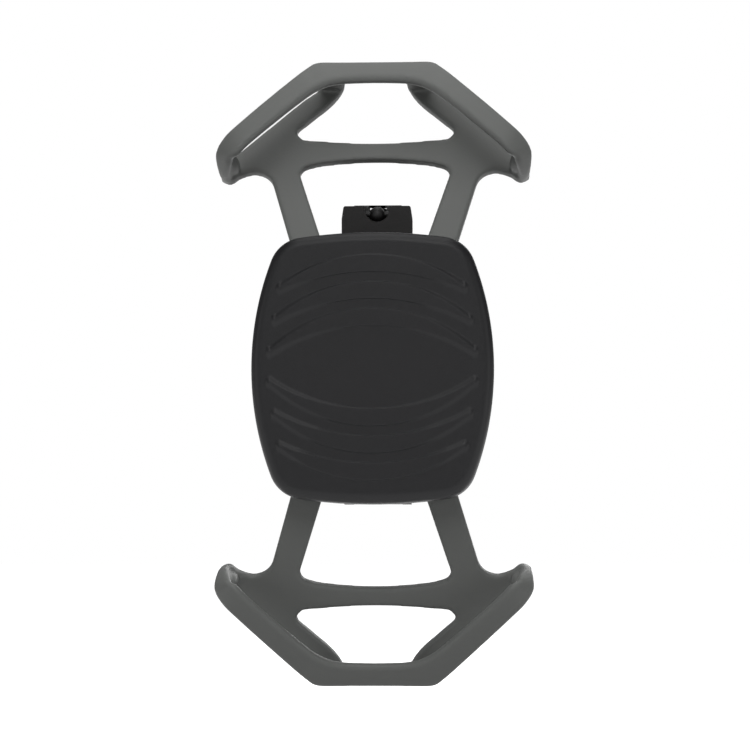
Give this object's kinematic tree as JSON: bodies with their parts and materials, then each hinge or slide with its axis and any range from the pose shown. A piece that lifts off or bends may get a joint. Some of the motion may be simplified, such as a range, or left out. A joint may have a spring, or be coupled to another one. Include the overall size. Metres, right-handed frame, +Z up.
{
  "type": "phone mount",
  "caption": "Handlebar phone mount: bar clamp with a swing bolt, swivelling pad head and two stretching silicone arms that hook over a phone's corners.",
  "frame": {"origin": "centre of the bar clamp's bore, on the swivel axis", "axes": "+X along the handlebar, +Y to the rear, +Z up; the pad faces -Y"},
  "size_m": [0.0808, 0.0594, 0.1612],
  "materials": {
    "clamp_plastic": "black glass-filled nylon, fine moulded grain",
    "strap_plastic": "black flexible nylon, satin",
    "liner_rubber": "black rubber with fine ribs",
    "head_plastic": "black moulded plastic, satin",
    "pad_elastomer": "black soft-touch elastomer, matt, moulded over the whole front",
    "silicone": "dark grey silicone, matt with a soft sheen",
    "steel": "zinc-plated steel",
    "black_steel": "steel, black oxide",
    "spring_steel": "spring steel, bare",
    "bushing_acetal": "natural acetal",
    "brass": "machined brass"
  },
  "bodies": {
    "clamp": {"clamp_base": "clamp_plastic", "saddle_liner": "liner_rubber", "hinge_pin": "steel", "bolt_pivot_pin": "black_steel", "detent_spring": "spring_steel", "swivel_retainer": "steel", "retainer_screw": "steel"},
    "head": {"rear_housing": "head_plastic", "swivel_bushing": "bushing_acetal", "front_cover": "head_plastic", "grip_pad": "pad_elastomer", "housing_screws": "steel", "upper_arm_legs": "silicone", "lower_arm_legs": "silicone"},
    "upper_hooks": {"upper_corner_hooks": "silicone"},
    "lower_hooks": {"lower_corner_hooks": "silicone"},
    "strap": {"bar_strap": "strap_plastic", "strap_liner": "liner_rubber"},
    "bolt": {"swing_bolt": "black_steel"},
    "nut_washer": {"clamp_washer": "black_steel"},
    "nut": {"wing_nut": "clamp_plastic", "wing_nut_insert": "brass"}
  },
  "joints": [
    {"name": "swivel", "type": "hinge", "parent": "clamp", "child": "head", "pos_m": [0, 0, 0], "axis": [0, 1, 0], "continuous": true, "deforming": ["detent_spring"]},
    {"name": "upper_stretch", "type": "slide", "parent": "head", "child": "upper_hooks", "axis": [0, -0.766, 0.6428], "range_m": [0, 0.026], "stiffness_N_per_m": 700, "deforming": ["upper_arm_legs"]},
    {"name": "lower_stretch", "type": "slide", "parent": "head", "child": "lower_hooks", "axis": [0, -0.766, -0.6428], "range_m": [0, 0.026], "stiffness_N_per_m": 700, "deforming": ["lower_arm_legs"]},
    {"name": "strap_swing", "type": "hinge", "parent": "clamp", "child": "strap", "pos_m": [0, -0.0004, -0.0299], "axis": [-1, 0, 0], "range_deg": [0, 75], "deforming": ["bar_strap", "strap_liner"]},
    {"name": "bolt_swing", "type": "hinge", "parent": "clamp", "child": "bolt", "pos_m": [0, -0.0055, 0.0431], "axis": [1, 0, 0], "range_deg": [0, 85]},
    {"name": "nut_travel", "type": "slide", "parent": "bolt", "child": "nut_washer", "axis": [0, 1, 0], "range_m": [0, 0.0056]},
    {"name": "nut_spin", "type": "hinge", "parent": "nut_washer", "child": "nut", "pos_m": [0, 0.0048, 0.0431], "axis": [0, 1, 0], "range_deg": [0, 2880.5]}
  ],
  "couplings": [
    {"joint": "nut_spin", "follows": "nut_travel", "rad_per_m": 8976}
  ]
}
